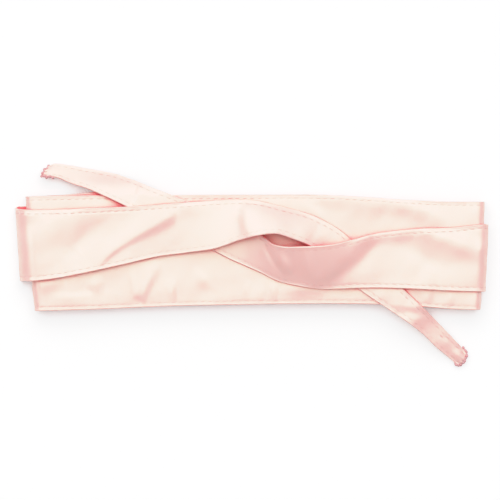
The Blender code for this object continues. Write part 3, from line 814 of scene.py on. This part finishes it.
def rippled(surface, facing, hem_distance):
    """The surface with soft uneven waves all over, and short ones along its hems."""
    x, y = surface[..., 0], surface[..., 1]
    run = run_lengths(surface[:, 0])[:, None] + np.zeros_like(x)
    wave = ripple(BROAD_RIPPLES, x, y)
    wave += ripple(HEM_RIPPLES, run, np.zeros_like(x)) * np.exp(-hem_distance / HEM_RIPPLE_REACH)
    return surface + surface_normals(surface, facing) * wave[..., None]


def half_thickness(surface, distances, inset, pulls):
    """Half the cloth's thickness: full at the rolled hems and drawn in along the topstitches."""
    half = np.full(surface.shape[:2], SHEET / 2)
    for distance, column, strength in zip(distances, (0, -1), pulls):
        phase = run_lengths(surface[:, column])[:, None] / STITCH_PITCH * 2 * math.pi
        pull = GROOVE_DEPTH * strength[:, None] * (PULL_MEAN - PULL_SWING * np.cos(phase))
        half += HEM_EXTRA / 2 * np.exp(-((distance - HEM_MIDDLE) / HEM_REACH) ** 4)
        half -= PULL_EACH_SIDE * pull * np.exp(-((distance - inset) / GROOVE_WIDTH) ** 2)
        rolled = np.clip(1.0 - distance / ROLL_RADIUS, 0.0, 1.0)
        half *= np.sqrt(1.0 - ROLL_DEPTH * rolled**2)
    return half


def shell_faces(rows, columns, facing):
    """Faces of a closed shell made of rings of points: its sides, then the caps at both ends."""
    ring = 2 * columns + 2
    row, place = np.meshgrid(np.arange(rows - 1), np.arange(ring), indexing="ij")
    after = (place + 1) % ring
    sides = np.stack([row * ring + place, row * ring + after,
                      (row + 1) * ring + after, (row + 1) * ring + place], axis=-1).reshape(-1, 4)
    faces = (sides[:, ::-1] if facing > 0 else sides).tolist()
    for base, flip in ((0, facing > 0), ((rows - 1) * ring, facing < 0)):
        cap = [[base + column, base + column + 1, base + ring - 3 - column, base + ring - 2 - column]
               for column in range(columns - 1)]
        cap.append([base + columns - 1, base + columns, base + columns + 1])
        cap.append([base + ring - 2, base + ring - 1, base])
        faces.extend(face if flip else face[::-1] for face in cap)
    return faces


def mesh_object(name, points, faces):
    """A smooth object in the scene, from points in millimetres."""
    mesh = bpy.data.meshes.new(name)
    mesh.from_pydata((np.asarray(points) * MM).tolist(), [], faces)
    mesh.shade_smooth()
    item = bpy.data.objects.new(name, mesh)
    bpy.context.scene.collection.objects.link(item)
    return item


def shell(name, surface, facing, inset, pull_rows, ripples=True):
    """A closed shell of cloth round a middle surface, with hems that are rolled and grooved.

    Returns the object, its upper points and its normals."""
    distances = hem_distances(surface)
    pulls = hem_pull(pull_rows, surface[:, surface.shape[1] // 2, 0])
    if ripples:
        surface = rippled(surface, facing, np.minimum(*distances))
    normals = surface_normals(surface, facing)
    half = half_thickness(surface, distances, inset, pulls)
    upper = surface + normals * half[..., None]
    under = surface - normals * half[..., None]
    upper[..., 2] = np.maximum(upper[..., 2], LOWEST_UPPER)
    under[..., 2] = np.maximum(under[..., 2], LOWEST_UNDER)
    start_rim = surface[:, 0] + unit(surface[:, 0] - surface[:, 1]) * RIM_REACH
    end_rim = surface[:, -1] + unit(surface[:, -1] - surface[:, -2]) * RIM_REACH
    rings = np.concatenate([upper, end_rim[:, None], under[:, ::-1], start_rim[:, None]], axis=1)
    rows, columns = half.shape
    item = mesh_object(name, rings.reshape(-1, 3), shell_faces(rows, columns, facing))
    across = distances[0]
    across = np.concatenate([across, across[:, -1:], across[:, ::-1], across[:, :1]], axis=1)
    along = run_lengths(surface[:, columns // 2])[:, None] + np.zeros_like(across)
    cloth_map = item.data.attributes.new("cloth_map", "FLOAT_VECTOR", "POINT")
    places = np.stack([along, across, np.zeros_like(across)], axis=-1) * MM
    cloth_map.data.foreach_set("vector", places.ravel())
    item.data.validate()
    return item, upper, normals


def tube(path, radii, sides):
    """Rings of points round a path of points, with a radius at each."""
    ahead = unit(np.gradient(path, axis=0))
    side = unit(np.cross(ahead, [0.0, 0.0, 1.0]))
    lift = np.cross(side, ahead)
    turns = np.linspace(0.0, 2 * math.pi, sides, endpoint=False)
    ring = side[:, None] * np.cos(turns)[None, :, None] + lift[:, None] * np.sin(turns)[None, :, None]
    return path[:, None] + ring * radii[:, None, None]


def edge_beyond(surface, rows, column, inner_column):
    """The last rows of one edge of a band, moved a little outward."""
    edge = surface[-1 - rows:-1, column]
    return edge + unit(edge - surface[-1 - rows:-1, inner_column]) * OVERLOCK_BEYOND


def overlock(surface, upper_rows, lower_rows):
    """Beaded thread over the raw end of a band and a little way along its two edges."""
    raw_end = surface[-1] + unit(surface[-1] - surface[-3]) * OVERLOCK_BEYOND
    end_line = np.concatenate([edge_beyond(surface, upper_rows, 0, 1), raw_end,
                               edge_beyond(surface, lower_rows, -1, -2)[::-1]])
    runs = run_lengths(end_line)
    places = np.linspace(0.0, runs[-1], int(runs[-1] / OVERLOCK_BEAD * POINTS_A_BEAD) + 1)
    path = at_runs(end_line, runs, places)
    bead = np.abs(np.sin(math.pi * places / OVERLOCK_BEAD))
    number = np.floor(places / OVERLOCK_BEAD)
    path[:, 0] += OVERLOCK_DRIFT * np.sin(number * DRIFT_TURN_X) * bead
    path[:, 1] += OVERLOCK_DRIFT * np.cos(number * DRIFT_TURN_Y) * bead
    radii = OVERLOCK_RADIUS * lerp(BEAD_WAIST, 1.0, bead)
    path[:, 2] = np.maximum(path[:, 2], radii + OVERLOCK_CLEARANCE)
    return tube(path, radii, OVERLOCK_SIDES)


def tube_faces(rings, base):
    """Faces of a closed tube whose rings of points start at a number in the mesh."""
    around = len(rings[0])
    faces = []
    for step in range(len(rings) - 1):
        for corner in range(around):
            near, after = base + step * around, (corner + 1) % around
            faces.append([near + corner, near + after, near + around + after, near + around + corner])
    faces.append([base + corner for corner in range(around)][::-1])
    faces.append([base + (len(rings) - 1) * around + corner for corner in range(around)])
    return faces


def thread_piece(name, tubes):
    """One object of closed tubes, each a list of rings of points."""
    points, faces = [], []
    for rings in tubes:
        faces.extend(tube_faces(rings, len(points)))
        for ring in rings:
            points.extend(ring)
    return mesh_object(name, points, faces)


def stitch(path, normals, runs, start, thickness):
    """Rings of one short sunk thread that starts at a run along a path."""
    turns = np.linspace(0, 2 * math.pi, STITCH_SIDES, endpoint=False)
    rings = []
    for point in STITCH_PROFILE:
        at = start + point.share * STITCH_LENGTH
        centre = at_runs(path, runs, at)
        lift = unit(at_runs(normals, runs, at))
        ahead = at_runs(path, runs, at + STITCH_LOOK_AHEAD) - centre
        side = unit(np.cross(lift, ahead + 1e-6))
        centre = centre + lift * point.height * thickness
        radius = thickness * point.radius
        rings.append([centre + radius * (side * math.cos(turn) + lift * math.sin(turn)) for turn in turns])
    return rings


def stitch_tubes(upper, normals, pulls):
    """Topstitches along both hems of a shell, stouter where they pull harder."""
    tubes = []
    for column, strength in zip((STITCH_COLUMN, -1 - STITCH_COLUMN), pulls):
        path = upper[:, column]
        runs = run_lengths(path)
        for number in range(int(runs[-1] / STITCH_PITCH)):
            start = (number + 0.5) * STITCH_PITCH - STITCH_LENGTH / 2
            thickness = STITCH_RADIUS * math.sqrt(np.interp(start, runs, strength))
            tubes.append(stitch(path, normals[:, column], runs, start, thickness))
    return tubes


def map_range(tree, source, from_ends=(0.0, 1.0), to_ends=(0.0, 1.0), smooth=False):
    """Output of a Map Range node on a source."""
    node = tree.nodes.new("ShaderNodeMapRange")
    node.interpolation_type = "SMOOTHSTEP" if smooth else "LINEAR"
    names = ("From Min", "From Max", "To Min", "To Max")
    for name, value in zip(names, (*from_ends, *to_ends)):
        node.inputs[name].default_value = value
    tree.links.new(source, node.inputs["Value"])
    return node.outputs["Result"]


def shade_share(tree):
    """Share of painted shade, from 0 to 1: how far cloth that faces up is closed in by other cloth."""
    closeness = tree.nodes.new("ShaderNodeAmbientOcclusion")
    closeness.samples = CLOSENESS_SAMPLES
    closeness.inputs["Distance"].default_value = CLOSENESS_DISTANCE
    depth = map_range(tree, closeness.outputs["AO"], CLOSENESS_ENDS, smooth=True)
    geometry = tree.nodes.new("ShaderNodeNewGeometry")
    split = tree.nodes.new("ShaderNodeSeparateXYZ")
    tree.links.new(geometry.outputs["Normal"], split.inputs["Vector"])
    upward = map_range(tree, split.outputs["Z"], UPWARD_ENDS)
    share = tree.nodes.new("ShaderNodeMath")
    share.operation = "MULTIPLY"
    tree.links.new(depth, share.inputs[0])
    tree.links.new(upward, share.inputs[1])
    return share.outputs["Value"]


def weave_normal(tree):
    """Normal of the satin's fine threads, which run along the cloth."""
    place = tree.nodes.new("ShaderNodeAttribute")
    place.attribute_name = "cloth_map"
    threads = tree.nodes.new("ShaderNodeTexWave")
    threads.bands_direction = "Y"
    threads.inputs["Scale"].default_value = THREAD_SCALE
    threads.inputs["Distortion"].default_value = THREAD_DISTORTION
    tree.links.new(place.outputs["Vector"], threads.inputs["Vector"])
    bump = tree.nodes.new("ShaderNodeBump")
    bump.inputs["Strength"].default_value = THREAD_STRENGTH
    bump.inputs["Distance"].default_value = THREAD_HEIGHT
    tree.links.new(threads.outputs["Fac"], bump.inputs["Height"])
    return bump.outputs["Normal"]


def cloth_material(cloth):
    """Pink cloth under a broad pale gloss, with painted shade: redder and duller where other cloth closes in
    on it.
    """
    material = bpy.data.materials.new(cloth.name)
    material.use_nodes = True
    tree = material.node_tree
    shader = tree.nodes["Principled BSDF"]
    shader.inputs["Roughness"].default_value = cloth.roughness
    shader.inputs["IOR"].default_value = cloth.ior
    shader.inputs["Specular Tint"].default_value = (*cloth.tint, 1.0)
    shader.inputs["Subsurface Weight"].default_value = cloth.glow
    shader.inputs["Subsurface Radius"].default_value = GLOW_RADIUS
    shader.inputs["Subsurface Scale"].default_value = GLOW_SCALE
    # Painted shade: the colour is mixed towards the redder shade colour, and the gloss turned down, by the
    # share of closeness
    share = shade_share(tree)
    blend = tree.nodes.new("ShaderNodeMix")
    blend.data_type = "RGBA"
    blend.inputs["A"].default_value = (*cloth.colour, 1.0)
    blend.inputs["B"].default_value = (*cloth.deep_colour, 1.0)
    tree.links.new(share, blend.inputs["Factor"])
    tree.links.new(blend.outputs["Result"], shader.inputs["Base Color"])
    gloss = map_range(tree, share, to_ends=GLOSS_ENDS)
    tree.links.new(gloss, shader.inputs["Specular IOR Level"])
    tree.links.new(weave_normal(tree), shader.inputs["Normal"])
    return material


def finish_piece(piece, material):
    piece.data.materials.append(material)
    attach(piece, "root")


def make_band(band, satin, thread, overlock_thread):
    """One visible stretch of the sash, with its topstitches and any overlocked end."""
    item, upper, normals = shell(band.name, band.surface, band.facing, band.inset, band.pull)
    finish_piece(item, satin)
    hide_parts(band.node)
    pulls = hem_pull(band.pull, upper[:, upper.shape[1] // 2, 0])
    topstitch = thread_piece(band.name + "_topstitch", stitch_tubes(upper, normals, pulls))
    finish_piece(topstitch, thread)
    if band.end_rows:
        beads = thread_piece(band.name + "_overlock", [overlock(band.surface, *band.end_rows)])
        finish_piece(beads, overlock_thread)


def make_hidden_lengths(satin):
    """The lengths under the wide band: one folded strip, and two between the band's legs."""
    folded = shell("hidden_lengths", hidden_surface(), 1, WIDE_INSET, WIDE_PULL, ripples=False)[0]
    finish_piece(folded, satin)
    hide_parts("hidden_layers")
    for layer in range(LEG_LAYERS):
        lower = shell(f"lower_length_{layer}", flat_layer(layer), -1, WIDE_INSET, WIDE_PULL, ripples=False)[0]
        finish_piece(lower, satin)


def make_floor():
    """A white paper floor that glows a little, so that it stays white beside the shadows."""
    mesh = bpy.data.meshes.new("floor")
    corners = [(-FLOOR_REACH, -FLOOR_REACH, 0), (FLOOR_REACH, -FLOOR_REACH, 0),
               (FLOOR_REACH, FLOOR_REACH, 0), (-FLOOR_REACH, FLOOR_REACH, 0)]
    mesh.from_pydata(corners, [], [(0, 1, 2, 3)])
    floor = bpy.data.objects.new("floor", mesh)
    bpy.context.scene.collection.objects.link(floor)
    paper = bpy.data.materials.new("white_paper")
    paper.use_nodes = True
    shader = paper.node_tree.nodes["Principled BSDF"]
    shader.inputs["Base Color"].default_value = (PAPER_WHITE, PAPER_WHITE, PAPER_WHITE, 1.0)
    shader.inputs["Roughness"].default_value = PAPER_ROUGHNESS
    shader.inputs["Emission Color"].default_value = (1.0, 1.0, 1.0, 1.0)
    shader.inputs["Emission Strength"].default_value = PAPER_GLOW
    mesh.materials.append(paper)


def make_studio():
    """A pale tent with one wide soft light in it, nearly overhead."""
    world = bpy.data.worlds.new("studio")
    world.use_nodes = True
    tree = world.node_tree
    place = tree.nodes.new("ShaderNodeTexCoord")
    towards = tree.nodes.new("ShaderNodeVectorMath")
    towards.operation = "DOT_PRODUCT"
    towards.inputs[1].default_value = Vector(LIGHT_DIRECTION).normalized()
    tree.links.new(place.outputs["Generated"], towards.inputs[0])
    rim, core = math.cos(math.radians(LIGHT_RIM)), math.cos(math.radians(LIGHT_CORE))
    light = map_range(tree, towards.outputs["Value"], (rim, core), (TENT_LIGHT, MAIN_LIGHT), smooth=True)
    background = tree.nodes["Background"]
    background.inputs["Color"].default_value = (1.0, 1.0, 1.0, 1.0)
    tree.links.new(light, background.inputs["Strength"])
    bpy.context.scene.world = world


def set_tones():
    """A soft shoulder, so that the palest cloth stays just below white."""
    view = bpy.context.scene.view_settings
    view.view_transform = "Standard"
    view.use_curve_mapping = True
    tone = view.curve_mapping
    tone.white_level = (WHITE_LIGHT, WHITE_LIGHT, WHITE_LIGHT)
    for point in SHOULDER:
        tone.curves[3].points.new(point.light / WHITE_LIGHT, point.shown)
    tone.update()


def make_camera():
    """A long lens straight above the photograph's middle pixel."""
    data = bpy.data.cameras.new("camera")
    data.sensor_width = SENSOR
    data.lens = SENSOR * (CAMERA_HEIGHT - IN_SCALE_HEIGHT) / (PHOTO_PIXELS * PIXEL)
    data.clip_end = CLIP_END
    camera = bpy.data.objects.new("camera", data)
    camera.location = Vector((*PHOTO_CENTRE, CAMERA_HEIGHT)) * MM
    bpy.context.scene.collection.objects.link(camera)
    bpy.context.scene.camera = camera


BandForm = namedtuple("BandForm", "sections fold turn_height turn_reach folds leg_shift height "
                                  "drape_length inset puff bulge")
LEFT_FORM = BandForm(LEFT_BAND, LEFT_BAND_FOLD, LEFT_TURN_HEIGHT, LEFT_TURN_REACH, LEFT_FOLDS, LEFT_LEG_SHIFT,
                     stepped_height, LEFT_DRAPE_LENGTH, LEFT_INSET, puff=1.1, bulge=1.4)
RIGHT_FORM = BandForm(RIGHT_BAND, RIGHT_BAND_FOLD, None, RIGHT_BAND_FOLD.reach, RIGHT_FOLDS, RIGHT_LEG_SHIFT,
                      lying_height, RIGHT_DRAPE_LENGTH, RIGHT_INSET, puff=0.4, bulge=0.8)

# Each band's surface and sewing, the node it stands for, and its flat size in metres
Band = namedtuple("Band", "name surface facing inset pull end_rows node slot width length area")
BANDS = [
    Band("left_sash", band_surface(LEFT_FORM), -1, LEFT_INSET, LEFT_PULL, (5, 3),
         "left_band", "left_satin", 0.050, 0.375, 0.0105),
    Band("right_sash", band_surface(RIGHT_FORM), 1, RIGHT_INSET, RIGHT_PULL, (1, 8),
         "right_band", "right_satin", 0.048, 0.375, 0.0105),
    Band("wide_sash", wide_surface(), -1, WIDE_INSET, WIDE_PULL, None,
         "wide_band", "wide_satin", 0.066, 0.340, 0.0222),
]

satin = cloth_material(SATIN)
thread = cloth_material(THREAD)
overlock_thread = cloth_material(OVERLOCK_THREAD)
for band in BANDS:
    make_band(band, satin, thread, overlock_thread)
make_hidden_lengths(satin)
make_floor()
make_studio()
set_tones()
make_camera()
